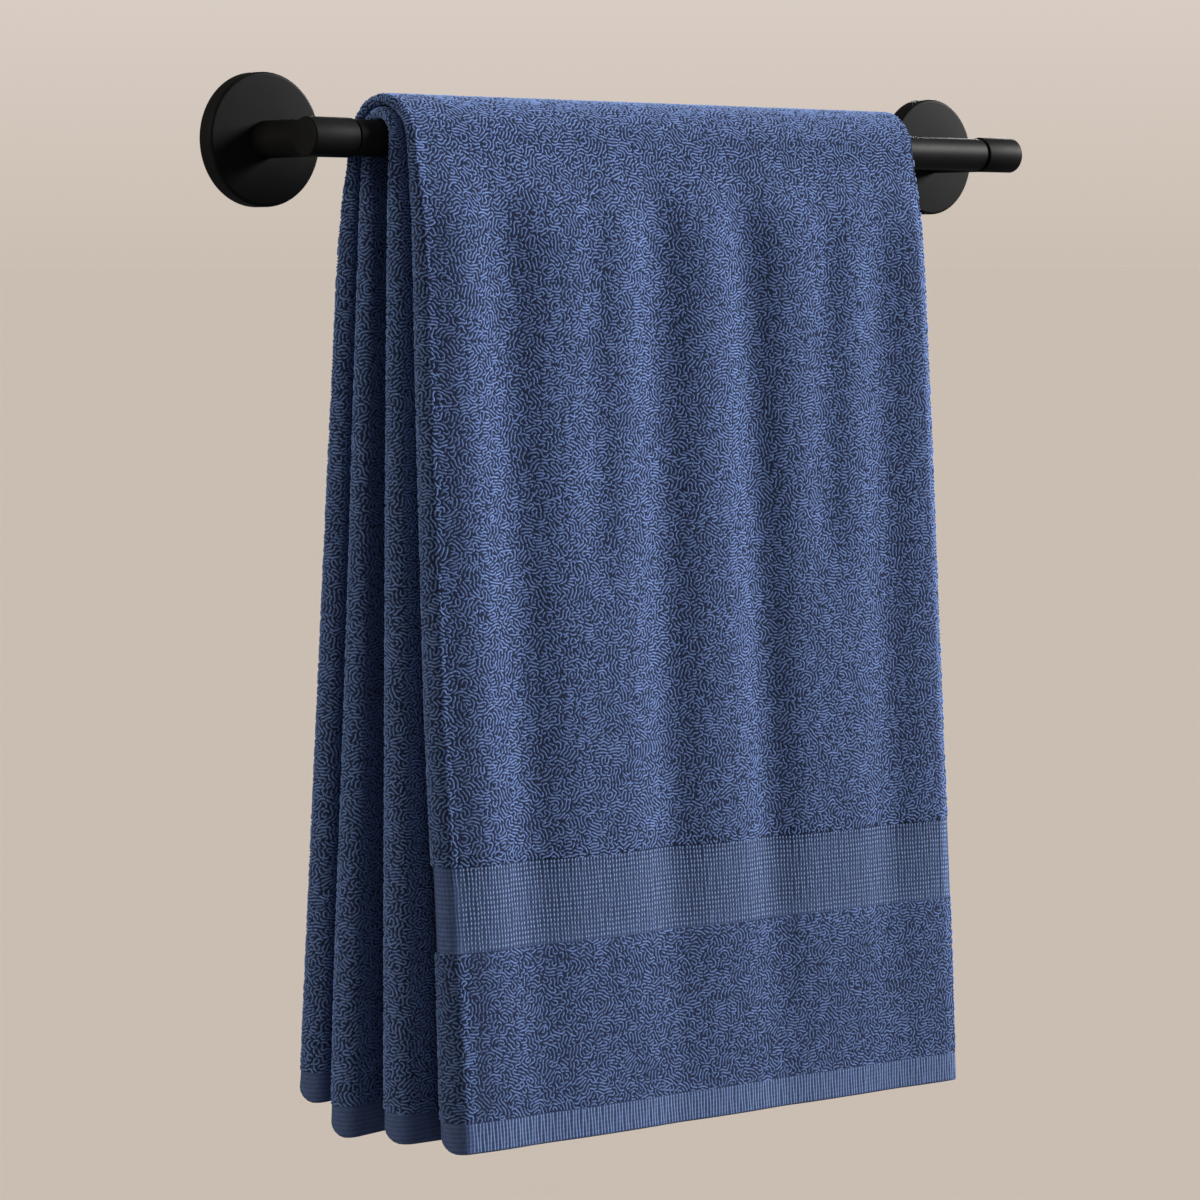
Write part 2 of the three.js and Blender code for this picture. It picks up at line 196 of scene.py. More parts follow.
# Ribs of the woven border and hems
HEM_RIB_STOP = END_ROUNDING / 3  # before the end of the cloth
BAND_RIB = {"pitch": 2.0, "width": 1.5, "height": 0.7, "step": 0.59, "dot_pitch": 2.35}
HEM_RIB = {"pitch": 2.0, "width": 1.6, "height": 0.5, "step": 0.8}
RIB_SPREAD = (0.9, 1.1)  # shares of the height, from rib to rib
RIB_START = (-4, 3)  # round fold A the ribs rise to their height between these places
RIB_FLAT = 0.2  # share of the height that they have before it
RIB_DRIFT = 0.1  # how far they lie from even places
RIB_SWAY = 0.2  # how far they waver
RIB_WAVER = 3.1  # length of a waver, over two pi
DOT_DRIFT = 0.06  # how far a rib's dots lie from even places, as a share of their pitch
DOT_GAP = 0.1  # share of the height between two dots of the border

# Shades of the weave, from 0, deep between the threads, to 1, on their crests: painted shade between the
# threads and painted light on the crests
BETWEEN_RIBS = 0.1
RIB_FOOT = 0.05
RIB_TOP = (0.25, 1.03)  # between two dots, and on a dot
HEM_CREST = 0.6
# Round the left folds a weave has one shade, and its weft shows as level lines
BAND_SIDE = {"shade": 0.35, "lined": 1.0}
HEM_SIDE = {"shade": 0.245, "lined": 0.4}
WEFT_SCALE = 145.0
SHEEN_TINT = (0.6, 0.75, 1.0)  # colour of the soft sheen on all of the cloth

# Camera, placed so that the bar set and the cloth fall where the photograph shows them
CAMERA_PLACE = (-0.9893, -1.3777, -0.0548)
CAMERA_YAW = -41.229
CAMERA_PITCH = -3.246
CAMERA_LENS = 106.15
CAMERA_SENSOR = 36.0
CAMERA_SHIFT = -0.12

# Soft distant lights: azimuth, height, strength, softness in degrees, and colour. Azimuth 0
# shines along +Y and 90 along -X.
LIGHTS = [
    ("key", 68, 20, 5.4, 22, (1.0, 0.985, 0.965)),
    ("fill", -102, 15, 1.2, 40, (1.0, 0.93, 0.76)),
    ("rear", 132, 8, 1.9, 25, (1.0, 0.99, 0.98)),
]
FLOOR_DROP = 1.0
FLOOR_SIZE = 400.0
FLOOR_MATCH = 0.98  # evens the floor out with the surround behind it
AMBIENT = (0.152, 0.15, 0.147)
SURROUND_LOW = (0.60, 0.522, 0.453)
SURROUND_HIGH = (0.70, 0.62, 0.56)
SURROUND_RISE = 0.08  # sine of the height at which the surround is lightest


def mix(a, b, share):
    return a + (b - a) * share


def smooth(value, low, high):
    share = np.clip((value - low) / (high - low), 0, 1)
    return share * share * (3 - 2 * share)


def column(half, name, drop):
    """A size of a half at any drop, on a smooth curve through its entries."""
    at = np.array(half["drop"], float)
    value = np.array(half[name], float)
    slope = np.diff(value) / np.diff(at)
    tangent = np.concatenate([slope[:1], (slope[1:] + slope[:-1]) / 2, slope[-1:]])
    row = np.clip(np.searchsorted(at, drop, side="right") - 1, 0, len(at) - 2)
    span = at[row + 1] - at[row]
    rise = value[row + 1] - value[row]
    share = (drop - at[row]) / span
    leave = span * tangent[row] - rise
    arrive = rise - span * tangent[row + 1]
    return value[row] + rise * share + share * (1 - share) * mix(leave, arrive, share)


def sizes(v):
    """The section's sizes at distances v along the cloth: 0 at the top of the arch,
    below 0 towards the back hem and above 0 towards the front hem."""
    drop = np.maximum(np.abs(v) - ARCH_REACH, 0)
    share = np.clip(v / ARCH_REACH, -1, 1) / 2 + 0.5
    s = {name: mix(column(BACK, name, drop), column(FRONT, name, drop), share) for name in COLUMNS}
    loose = smooth(drop, 0, THICKEN_BY)
    thick = mix(ARCH_THICK, DROP_THICK, loose)
    s["drop"] = drop
    s["front"] = v > 0
    for name in ("length", "inner_length", "askew"):
        s[name] = np.where(s["front"], FRONT[name], BACK[name])
    s["angle"] = (share - 0.5) * math.pi
    s["half"] = thick / 2
    s["pile"] = mix(ARCH_PILE, DROP_PILE, loose)
    s["ground"] = s["half"] - s["pile"]
    in_band = s["front"] & (drop > BAND_TOP) & (drop < BAND_BOTTOM)
    s["sink"] = np.where(in_band, BAND_SINK, 0.0)
    pitch = thick + mix(LAYER_GAP, LOOSE_GAP, loose)
    puff = s["puff"]
    outer = s["fold_c"] + puff
    inner = s["fold_c"] - puff
    s["n_left"] = [s["fold_a"] + puff, s["fold_a"] - puff, s["fold_b"] + puff, s["fold_b"] - puff]
    s["n_right"] = [outer + pitch, outer, inner, inner - pitch]
    centre_a = s["left_a"] + puff + s["half"]
    centre_b = s["left_b"] + puff + s["half"]
    centre_c = s["right"] - s["tuck_c"] - puff - s["half"]
    s["x_left"] = [centre_a, centre_a, centre_b, centre_b]
    end_0 = s["right"] - s["half"]
    s["x_right"] = [end_0, centre_c, centre_c, end_0 - s["tuck_3"]]
    return s


def troughs(s, x):
    """How far layer 0 stands out of its plain plane."""
    total = 0.0
    for half, rows, chosen in ((FRONT, FRONT_TROUGHS, s["front"]), (BACK, BACK_TROUGHS, ~s["front"])):
        out = TROUGH_LIFT * smooth(s["drop"], 0, TROUGH_FADE)
        for row in rows:
            t = dict(zip(TROUGH_NAMES, row))
            centre = t["x"] + t["drift"] * s["drop"] / half["length"]
            shown = smooth(s["drop"], t["start"], t["start"] + TROUGH_FADE)
            shown = shown * (1 - smooth(s["drop"], t["stop"] - TROUGH_FADE, t["stop"]))
            out = out - t["depth"] * shown * np.exp(-(((x - centre) / t["width"]) ** 2))
        total = total + np.where(chosen, out, 0)
    short = 1 - np.clip((x - s["x_left"][0]) / FOLD_RISE, 0, 1)
    from_left = 1 - short * short
    from_right = 1 - smooth(x, s["right"] - EDGE_CLEAR, s["right"])
    steadied = 1 - HEM_STEADY * smooth(s["drop"], s["length"] - HEM_STEADY_FROM, s["length"])
    return total * from_left * from_right * steadied


def layer_centre(s, layer, x):
    """Distance of a layer's middle from the plane through the bar, or from its axis."""
    share = (x - s["x_left"][layer]) / (s["x_right"][layer] - s["x_left"][layer])
    n = mix(s["n_left"][layer], s["n_right"][layer], smooth(share, 0, 1))
    return n + troughs(s, x) if layer == 0 else n


def corner_rise(s, x, n, inner):
    """How far the hem rises where it rounds a left fold, on the fold's wall side."""
    reach = s["puff"] + s["half"]
    centre_x = mix(s["left_a"], s["left_b"], inner) + reach
    centre_n = mix(s["fold_a"], s["fold_b"], inner)
    wallward = np.where(s["front"], centre_n - n, n - centre_n) / reach
    turned = smooth(wallward, *CORNER_TURN) * (1 - smooth(x - centre_x, 0, CORNER_FADE))
    return CORNER_RISE * turned * smooth(s["drop"], s["length"] - HEM_DEPTH, s["length"])


def place(s, x, n, inner):
    """Points in space, in metres, for places in the section. inner is 1 on layers 2 and 3."""
    skew = 1 + s["askew"] / s["length"] * (x - s["left_a"]) / (s["right"] - s["left_a"])
    down = s["drop"] * mix(1, s["inner_length"] / s["length"], inner) * skew
    down = down - corner_rise(s, x, n, inner)
    y = -AXIS_OUT - n * np.sin(s["angle"])
    z = n * np.cos(s["angle"]) - down
    return np.stack(np.broadcast_arrays(x, y, z), axis=-1) * MM


# Where the outside of a turn lies: its side, the layers before and after it, and inner there.
TURNS = {
    "fold_a": {"side": -1, "layers": (0, 1), "inner": (0, 0)},
    "fold_b": {"side": -1, "layers": (2, 3), "inner": (1, 1)},
    "fold_c": {"side": 1, "layers": (1, 2), "inner": (0, 1)},
    "edge_0": {"side": 1, "layers": (0, 0), "inner": (0, 0)},
    "edge_3": {"side": 1, "layers": (3, 3), "inner": (1, 1)},
}


def turn_sizes(s, name):
    """Centre of a turn, and the radius of its ground and of the middle of its pile."""
    turn = TURNS[name]
    layer = turn["layers"][0]
    x = s["x_left"][layer] if turn["side"] < 0 else s["x_right"][layer]
    if name.startswith("fold"):
        n, radius = s[name], s["puff"] + s["ground"]
    else:
        n, radius = s["n_right"][layer], s["ground"]
    return x, n, radius, radius + s["pile"] / 2


def on_turn(name, u, v, height):
    """Points at a height above the ground weave, round the outside of a turn. u is 0 where
    the turn meets its outer layer's face, above 0 along that face and below 0 round it."""
    s = sizes(v)
    turn = TURNS[name]
    centre_x, centre_n, radius, reach = turn_sizes(s, name)
    angle = np.clip(-u / reach, 0, math.pi)
    away = np.where(u > 0, u, np.maximum(-u - math.pi * reach, 0))
    flat_x = centre_x - turn["side"] * away
    lift = height - np.where(turn["layers"][0] == 0, s["sink"], 0)
    over = layer_centre(s, turn["layers"][0], flat_x) + s["ground"] + lift
    under = layer_centre(s, turn["layers"][1], flat_x) - s["ground"] - height
    flat = (u > 0) | (away > 0)
    x = np.where(flat, flat_x, centre_x + turn["side"] * (radius + lift) * np.sin(angle))
    n = np.where(flat, np.where(u > 0, over, under), centre_n + (radius + lift) * np.cos(angle))
    return place(s, x, n, mix(*turn["inner"], angle / math.pi))


def new_object(name, points, faces, material):
    mesh = bpy.data.meshes.new(name)
    mesh.from_pydata(np.asarray(points).tolist(), [], faces)
    mesh.shade_smooth()
    obj = bpy.data.objects.new(name, mesh)
    bpy.context.scene.collection.objects.link(obj)
    obj.data.materials.append(material)
    return obj


def point_values(obj, name, values):
    layer = obj.data.attributes.new(name, "FLOAT", "POINT")
    layer.data.foreach_set("value", np.asarray(values, np.float32))


# Materials


class Nodes:
    """A material's nodes, made and joined by short calls."""

    def __init__(self, name):
        self.material = bpy.data.materials.new(name)
        self.material.use_nodes = True
        self.tree = self.material.node_tree
        self.shader = self.tree.nodes["Principled BSDF"]

    def add(self, kind, links=None, **values):
        node = self.tree.nodes.new(kind)
        for name, value in values.items():
            setattr(node, name, value)
        for socket, source in (links or {}).items():
            if hasattr(source, "links"):
                self.tree.links.new(source, node.inputs[socket])
            else:
                node.inputs[socket].default_value = source
        return node

    def join(self, source, socket):
        self.tree.links.new(source, self.shader.inputs[socket])

    def ramp(self, factor, stops):
        node = self.add("ShaderNodeValToRGB", {"Fac": factor})
        elements = node.color_ramp.elements
        while len(elements) < len(stops):
            elements.new(0.5)
        for element, (at, colour) in zip(elements, stops):
            element.position = at
            element.color = (*colour, 1)
        return node.outputs["Color"]

    def noise(self, scale, detail):
        where = self.add("ShaderNodeTexCoord").outputs["Object"]
        links = {"Vector": where, "Scale": scale, "Detail": detail}
        return self.add("ShaderNodeTexNoise", links).outputs["Fac"]

    def bump(self, height, strength, distance, below=None):
        links = {"Height": height, "Strength": strength, "Distance": distance}
        if below:
            links["Normal"] = below
        return self.add("ShaderNodeBump", links).outputs["Normal"]

    def times(self, colour, factor, low, high):
        """A colour made darker or lighter as a factor runs from 0 to 1."""
        links = {"Value": factor, "To Min": low, "To Max": high}
        shade = self.add("ShaderNodeMapRange", links, clamp=False)
        mixer = self.add("ShaderNodeMix", data_type="RGBA", blend_type="MULTIPLY")
        mixer.inputs["Factor"].default_value = 1
        self.tree.links.new(colour, mixer.inputs["A"])
        self.tree.links.new(shade.outputs["Result"], mixer.inputs["B"])
        return mixer.outputs["Result"]

    def cloth_shader(self, roughness, sheen):
        self.shader.inputs["Roughness"].default_value = roughness
        self.shader.inputs["Specular IOR Level"].default_value = 0.1
        self.shader.inputs["Sheen Weight"].default_value = sheen
        self.shader.inputs["Sheen Roughness"].default_value = 0.5
        self.shader.inputs["Sheen Tint"].default_value = (*SHEEN_TINT, 1)


def loop_material():
    """Cotton loops: painted shade makes them deep blue at the foot and painted light makes them light at
    the crest, no two quite alike.
    """
    n = Nodes("blue_loops")
    crest = n.add("ShaderNodeAttribute", attribute_name="crest").outputs["Fac"]
    tone_and_painted_light = n.add("ShaderNodeAttribute", attribute_name="tone_and_painted_light").outputs["Fac"]
    # Painted shade at the loops' feet, where they would shade each other, rising to painted light on
    # their crests
    stops = [
        (0.0, (0.010, 0.016, 0.042)),
        (0.5, (0.067, 0.104, 0.240)),
        (1.0, (0.261, 0.403, 0.855)),
    ]
    colour = n.times(n.ramp(crest, stops), tone_and_painted_light, low=0.89, high=1.11)
    broad, yarn, fibres = n.noise(14, detail=3), n.noise(1000, detail=1), n.noise(1300, detail=3)
    colour = n.times(colour, broad, low=0.94, high=1.06)
    colour = n.times(colour, yarn, low=0.45, high=1.55)
    n.join(colour, "Base Color")
    n.join(n.bump(fibres, strength=0.6, distance=0.0003), "Normal")
    n.cloth_shader(roughness=0.9, sheen=0.12)
    return n.material


def ground_material():
    """The ground weave: painted shade between the built loops, and elsewhere loops of its own
    in bump and in painted light and shade, as on the faces between the layers."""
    n = Nodes("blue_ground")
    bare = n.add("ShaderNodeAttribute", attribute_name="bare").outputs["Fac"]
    black, white = (0, 0, 0), (1, 1, 1)
    loops = n.ramp(n.noise(420, detail=1), [(0.34, black), (0.5, white), (0.66, black)])
    shown = n.add("ShaderNodeMath", {0: loops, 1: bare}, operation="MULTIPLY").outputs[0]
    # Painted shade at 0, between and under the loops, up to painted light on the crests of the ground's
    # own loops
    stops = [
        (0.0, (0.020, 0.031, 0.075)),
        (0.5, (0.058, 0.088, 0.200)),
        (1.0, (0.140, 0.215, 0.450)),
    ]
    yarn, fibres = n.noise(900, detail=3), n.noise(1500, detail=3)
    n.join(n.times(n.ramp(shown, stops), yarn, low=0.5, high=1.4), "Base Color")
    fine = n.bump(fibres, strength=0.8, distance=0.0003)
    n.join(n.bump(shown, strength=0.7, distance=0.0008, below=fine), "Normal")
    n.cloth_shader(roughness=0.95, sheen=0.05)
    return n.material


def weave_material():
    """The flat woven hem and border, with painted shade between its threads and painted light on their
    crests, and fine level lines of weft where lined is above 0.
    """
    n = Nodes("blue_weave")
    where = n.add("ShaderNodeTexCoord").outputs["Object"]
    links = {"Vector": where, "Scale": WEFT_SCALE, "Distortion": 1.2, "Detail": 2.0, "Detail Scale": 3.0}
    weft = n.add("ShaderNodeTexWave", links, bands_direction="Z").outputs["Fac"]
    crest = n.add("ShaderNodeAttribute", attribute_name="crest").outputs["Fac"]
    # Painted shade deep between the threads, up to painted light on the crests and dots
    stops = [
        (0.0, (0.013, 0.021, 0.058)),
        (0.3, (0.093, 0.136, 0.290)),
        (0.5, (0.138, 0.216, 0.500)),
        (1.0, (0.520, 0.750, 1.0)),
    ]
    lined = n.add("ShaderNodeAttribute", attribute_name="lined").outputs["Fac"]
    deep = n.add("ShaderNodeMath", {0: lined, 1: -0.32, 2: 0.94}, operation="MULTIPLY_ADD").outputs[0]
    colour = n.times(n.ramp(crest, stops), weft, low=deep, high=1.1)
    threads, fibres = n.noise(420, detail=4), n.noise(2200, detail=2)
    n.join(n.times(colour, threads, low=0.72, high=1.28), "Base Color")
    fine = n.bump(fibres, strength=0.4, distance=0.0002)
    n.join(n.bump(weft, strength=0.12, distance=0.0003, below=fine), "Normal")
    n.cloth_shader(roughness=0.85, sheen=0.12)
    return n.material


def metal_material():
    """Matte black powder coat with a very fine orange peel."""
    n = Nodes("black_coat")
    broad, grain, peel = n.noise(60, detail=4), n.noise(1900, detail=3), n.noise(350, detail=3)
    colour = n.ramp(broad, [(0.35, (0.0095, 0.0095, 0.01)), (0.7, (0.0125, 0.0125, 0.013))])
    n.join(colour, "Base Color")
    n.join(n.bump(grain, strength=0.1, distance=0.00006), "Normal")
    rough = n.add("ShaderNodeMapRange", {"Value": peel, "To Min": 0.47, "To Max": 0.56})
    n.join(rough.outputs["Result"], "Roughness")
    n.shader.inputs["Specular IOR Level"].default_value = 0.07
    return n.material


# Bar set


def arc(centre_r, centre_h, radius, start, stop):
    angles = np.radians(np.linspace(start, stop, ARC_STEPS + 1))
    return [(centre_r + radius * math.cos(a), centre_h + radius * math.sin(a)) for a in angles]


def circle(radius):
    """Places round a circle, or its centre alone if it has no radius."""
    angles = [2 * math.pi * i / LATHE_SIDES for i in range(LATHE_SIDES if radius else 1)]
    return [(radius * math.cos(angle), radius * math.sin(angle)) for angle in angles]


def from_rings(name, rings, material):
    """A closed piece through rings of points, of which the first and last are one point."""
    points, faces, numbers = [], [], []
    for ring in rings:
        numbers.append(range(len(points), len(points) + len(ring)))
        points += ring
    for a, b in zip(numbers, numbers[1:]):
        for i in range(LATHE_SIDES):
            corners = [a[i % len(a)], a[(i + 1) % len(a)], b[(i + 1) % len(b)], b[i % len(b)]]
            faces.append(list(dict.fromkeys(corners)))
    obj = new_object(name, np.array(points) * MM, faces, material)
    mesh = bmesh.new()
    mesh.from_mesh(obj.data)
    bmesh.ops.recalc_face_normals(mesh, faces=mesh.faces)
    mesh.to_mesh(obj.data)
    mesh.free()
    obj.data.set_sharp_from_angle(angle=SHARP_ANGLE)
    return obj


def lathe(name, profile, axis, origin, material):
    """A closed turned piece along an axis, its profile of (radius, length) from axis to axis."""
    rings = []
    for radius, along in profile:
        ring = []
        for across, up in circle(radius):
            local = (along, across, up) if axis == "X" else (across, along, up)
            ring.append([o + p for o, p in zip(origin, local)])
        rings.append(ring)
    return from_rings(name, rings, material)


def wall_plate(side, x, material):
    rim = arc(PLATE_RADIUS - PLATE_EDGE, -PLATE_THICK + PLATE_EDGE, PLATE_EDGE, -90, 0)
    profile = [(0, -PLATE_THICK), (POST_RADIUS, -PLATE_THICK), *rim, (PLATE_RADIUS, 0), (0, 0)]
    return lathe(f"wall_plate_{side}", profile, "Y", (x, 0, 0), material)


def sleeve(side, x, outward, material):
    """The cap on the bar's end: rounded at its closed outer end, with a lip towards the bar."""
    closed = arc(SLEEVE_RADIUS - SLEEVE_EDGE, SLEEVE_OUTER - SLEEVE_EDGE, SLEEVE_EDGE, 90, 0)
    lip = arc(SLEEVE_RADIUS - SLEEVE_LIP, -SLEEVE_INNER + SLEEVE_LIP, SLEEVE_LIP, 0, -90)
    profile = [(0, SLEEVE_OUTER), *closed, *lip, (0, -SLEEVE_INNER)]
    turned = [(r, outward * h) for r, h in profile]
    return lathe(f"bar_sleeve_{side}", turned, "X", (x, -AXIS_OUT, 0), material)


def bar(material):
    """The tube between the sleeves, with a narrow neck at each end."""
    start = SLEEVE_INNER + SEAT_GAP
    shoulder = start + NECK_LENGTH
    edge = arc(BAR_RADIUS - BAR_LIP, shoulder + BAR_LIP, BAR_LIP, -90, 0)
    profile = [(0, start), (NECK_RADIUS, start), (NECK_RADIUS, shoulder), *edge]
    mirrored = [(r, BAR_SPAN - h) for r, h in reversed(profile)]
    return lathe("towel_bar", profile + mirrored, "X", (0, -AXIS_OUT, 0), material)


def post(side, x, material):
    """The stem from the plate to the sleeve, its end hollowed to the sleeve's roundness."""
    seat = SLEEVE_RADIUS + SEAT_GAP
    start = -PLATE_THICK - SEAT_GAP
    at_plate, at_sleeve = [], []
    for k in range(SADDLE_RINGS + 1):
        ring = circle(POST_RADIUS * k / SADDLE_RINGS)
        at_plate.append([(x + across, start, up) for across, up in ring])
        seated = [(x + across, -AXIS_OUT + math.sqrt(seat**2 - up**2), up) for across, up in ring]
        at_sleeve.insert(0, seated)
    return from_rings(f"wall_post_{side}", at_plate + at_sleeve, material)


# Cloth


def sheet_section(s):
    """The outline of the ground weave at each station, from the middle of layer 0's edge round
    the outside to layer 3's edge and back inside. It comes as arrays of x, n, inner and bare,
    which is 1 on the faces that no built loops cover."""
    ground, puff = s["ground"], s["puff"]
    outline = []

    def add(x, n, inner, bare):
        parts = (x, n, inner, float(bare))
        outline.append([np.broadcast_to(part, (len(ground), x.shape[1])) for part in parts])

    def face(layer, side, leftwards, steps):
        share = np.linspace(1, 0, steps + 1) if leftwards else np.linspace(0, 1, steps + 1)
        x = mix(s["x_left"][layer], s["x_right"][layer], share[None, :])
        outermost = (layer, side) == (0, 1)
        sink = s["sink"] if outermost else 0
        n = layer_centre(s, layer, x) + side * (ground - sink)
        add(x, n, float(layer > 1), bare=not outermost)

    def turn(name, inside, downwards):
        share = np.linspace(0, 1, ROUND_STEPS + 1)[None, 1:-1]
        layer = TURNS[name]["layers"][0]
        side = TURNS[name]["side"]
        angle = math.pi * (share if downwards else 1 - share)
        sink = s["sink"] if name == "fold_a" else 0
        radius = puff - ground if inside else puff + ground - sink
        x = (s["x_left"] if side < 0 else s["x_right"])[layer] + side * radius * np.sin(angle)
        n = s[name] + radius * np.cos(angle)
        add(x, n, mix(*TURNS[name]["inner"], angle / math.pi), bare=inside)

    def edge(layer, angles):
        angle = np.radians(np.array(angles))[None, :]
        x = s["x_right"][layer] + ground * np.cos(angle)
        add(x, s["n_right"][layer] + ground * np.sin(angle), float(layer > 1), bare=False)

    edge(0, (0, 45))
    face(0, 1, True, FACE_STEPS)
    turn("fold_a", inside=False, downwards=True)
    face(1, -1, False, HIDDEN_STEPS)
    turn("fold_c", inside=True, downwards=True)
    face(2, 1, True, HIDDEN_STEPS)
    turn("fold_b", inside=False, downwards=True)
    face(3, -1, False, HIDDEN_STEPS)
    edge(3, (-45, 0, 45))
    face(3, 1, True, HIDDEN_STEPS)
    turn("fold_b", inside=True, downwards=False)
    face(2, -1, False, HIDDEN_STEPS)
    turn("fold_c", inside=False, downwards=False)
    face(1, 1, True, HIDDEN_STEPS)
    turn("fold_a", inside=True, downwards=False)
    face(0, -1, False, FACE_STEPS)
    edge(0, (-45,))
    return [np.concatenate(part, axis=1) for part in zip(*outline)]


def half_stations(half):
    """Drops of the sheet's stations on a half: even steps, with close ones at each edge."""
    length = half["length"]
    marks = [0, length - HEM_DEPTH, length - END_ROUNDING]
    if half is FRONT:
        marks += [BAND_TOP, BAND_BOTTOM]
    marks = sorted(marks)
    drops = []
    for low, high in zip(marks, marks[1:]):
        steps = max(2, round((high - low) / DROP_STEP))
        drops += list(np.linspace(low + EDGE_RUN, high - EDGE_RUN, steps + 1))
    return drops + [length - END_ROUNDING * (1 - share) for share in END_SHARES]


def towel_sheet(ground, weave):
    """The cloth without its loops, as one closed sheet on the towel's folds."""
    back = [-(ARCH_REACH + drop) for drop in reversed(half_stations(BACK))]
    front = [ARCH_REACH + drop for drop in half_stations(FRONT)]
    arch = np.linspace(-ARCH_REACH, ARCH_REACH, ARCH_STEPS + 1)
    v = np.array([*back, *arch, *front])[:, None]
    s = sizes(v)
    past = np.clip((s["drop"] - s["length"]) / END_ROUNDING + 1, 0, END_ROUNDED)
    s["ground"] = s["ground"] * np.sqrt(1 - past**2)
    x, n, inner, bare = sheet_section(s)
    points = place(s, x, n, inner).reshape(-1, 3)
    rows, count = x.shape
    a = np.arange(rows - 1)[:, None] * count + np.arange(count)[None, :]
    b = np.arange(rows - 1)[:, None] * count + (np.arange(count)[None, :] + 1) % count
    faces = np.stack([a, b, b + count, a + count], axis=-1).reshape(-1, 4).tolist()
    middle = count // 2
    for start, flip in ((0, True), ((rows - 1) * count, False)):
        lid = [[0, 1, count - 1], [middle - 1, middle, middle + 1]]
        lid += [[k, k + 1, count - k - 1, count - k] for k in range(1, middle - 1)]
        faces += [[start + k for k in (reversed(face) if flip else face)] for face in lid]
    obj = new_object("towel_cloth", points, faces, ground)
    obj.data.materials.append(weave)
    station = (v[:-1, 0] + v[1:, 0]) / 2
    drop = np.abs(station) - ARCH_REACH
    hem = drop > sizes(station)["length"] - HEM_DEPTH
    band = (station > 0) & (drop > BAND_TOP) & (drop < BAND_BOTTOM)
    # The outline runs over the right edge, the face of layer 0 and then fold A.
    around = np.arange(count)
    woven = (hem[:, None] | (band[:, None] & (around < FACE_STEPS + ROUND_STEPS))).ravel()
    slots = np.ones(len(faces), np.int32)
    slots[: len(woven)] = woven
    obj.data.polygons.foreach_set("material_index", slots)
    on_face = (around > EDGE_POINTS) & (around < FACE_STEPS + EDGE_POINTS)
    ribbed = on_face & (past == 0)
    # Painted shade on the ground between the ribs, and one shade round the folds
    point_values(obj, "crest", np.where(ribbed, BETWEEN_RIBS, HEM_SIDE["shade"]).ravel())
    point_values(obj, "lined", np.full(len(points), HEM_SIDE["lined"]))
    point_values(obj, "bare", bare.ravel())
    return obj


def wave_field(rng, shape):
    """A smooth random field on a grid, its waves near one length and evenly apart."""
    fu = np.fft.fftfreq(shape[0], GRID)[:, None]
    fv = np.fft.rfftfreq(shape[1], GRID)[None, :]
    away = (np.hypot(fu * WAVE_ACROSS, fv * WAVE_ALONG) - 1) / WAVE_SPREAD
    kept = np.exp(-(away**2))

    def waves(values):
        return np.fft.irfft2(np.fft.rfft2(values) * kept, s=shape)

    field = waves(rng.standard_normal(shape))
    for _ in range(EVEN_ROUNDS):
        field = waves(np.tanh(EVEN_GAIN * field / field.std()))
    return field


def zero_crossings(field):
    """The places at which a field is zero on the lines of its grid, and the pairs of them
    that the grid's cells join."""
    above = field > 0
    cross_u = above[1:, :] != above[:-1, :]
    cross_v = above[:, 1:] != above[:, :-1]
    number_u = np.cumsum(cross_u).reshape(cross_u.shape) - 1
    number_v = np.cumsum(cross_v).reshape(cross_v.shape) - 1 + cross_u.sum()
    iu, ju = np.nonzero(cross_u)
    iv, jv = np.nonzero(cross_v)
    share_u = field[iu, ju] / (field[iu, ju] - field[iu + 1, ju])
    share_v = field[iv, jv] / (field[iv, jv] - field[iv, jv + 1])
    places = np.concatenate([np.stack([iu + share_u, ju], 1), np.stack([iv, jv + share_v], 1)])
    # Each cell joins the crossings on its sides: low and high u, low and high v.
    sides = [
        (cross_v[:-1, :], number_v[:-1, :]),
        (cross_v[1:, :], number_v[1:, :]),
        (cross_u[:, :-1], number_u[:, :-1]),
        (cross_u[:, 1:], number_u[:, 1:]),
    ]
    total = sum(side[0].astype(int) for side in sides)
    pairs = []
    for i in range(4):
        for j in range(i + 1, 4):
            joined = sides[i][0] & sides[j][0] & (total == 2)
            # Of four crossings on one cell, the two on its low sides are joined, and the others.
            if (i, j) in ((0, 2), (1, 3)):
                joined |= total == 4
            pairs.append(np.stack([sides[i][1][joined], sides[j][1][joined]], 1))
    return places, np.concatenate(pairs)


def zero_lines(field):
    """The lines on which a field is zero, each as an array of grid places."""
    places, pairs = zero_crossings(field)
    ends = np.concatenate([pairs[:, 0], pairs[:, 1]])
    others = np.concatenate([pairs[:, 1], pairs[:, 0]])
    order = np.argsort(ends, kind="stable")
    ends, others = ends[order], others[order]
    first = np.searchsorted(ends, np.arange(len(places)))
    counts = np.bincount(ends, minlength=len(places))
    beside = np.full((len(places), 2), -1)
    beside[ends, np.arange(len(ends)) - first[ends]] = others
    beside = beside.tolist()
    seen = bytearray(len(places))
    lines = []
    starts = np.concatenate([np.nonzero(counts == 1)[0], np.nonzero(counts == 2)[0]])
    for start in starts.tolist():
        line = []
        onward = start
        while onward >= 0 and not seen[onward]:
            line.append(onward)
            seen[onward] = 1
            low, high = beside[onward]
            onward = high if low < 0 or seen[low] else low
        if len(line) > 1:
            lines.append(places[line])
    return lines


def loop_step(turn, u, v):
    """How far apart a loop's points lie: closer on the front and round the left folds."""
    fine = TURNS[turn]["side"] < 0 and (v > -ARCH_REACH or u < 0)
    return FINE_STEP if fine else COARSE_STEP


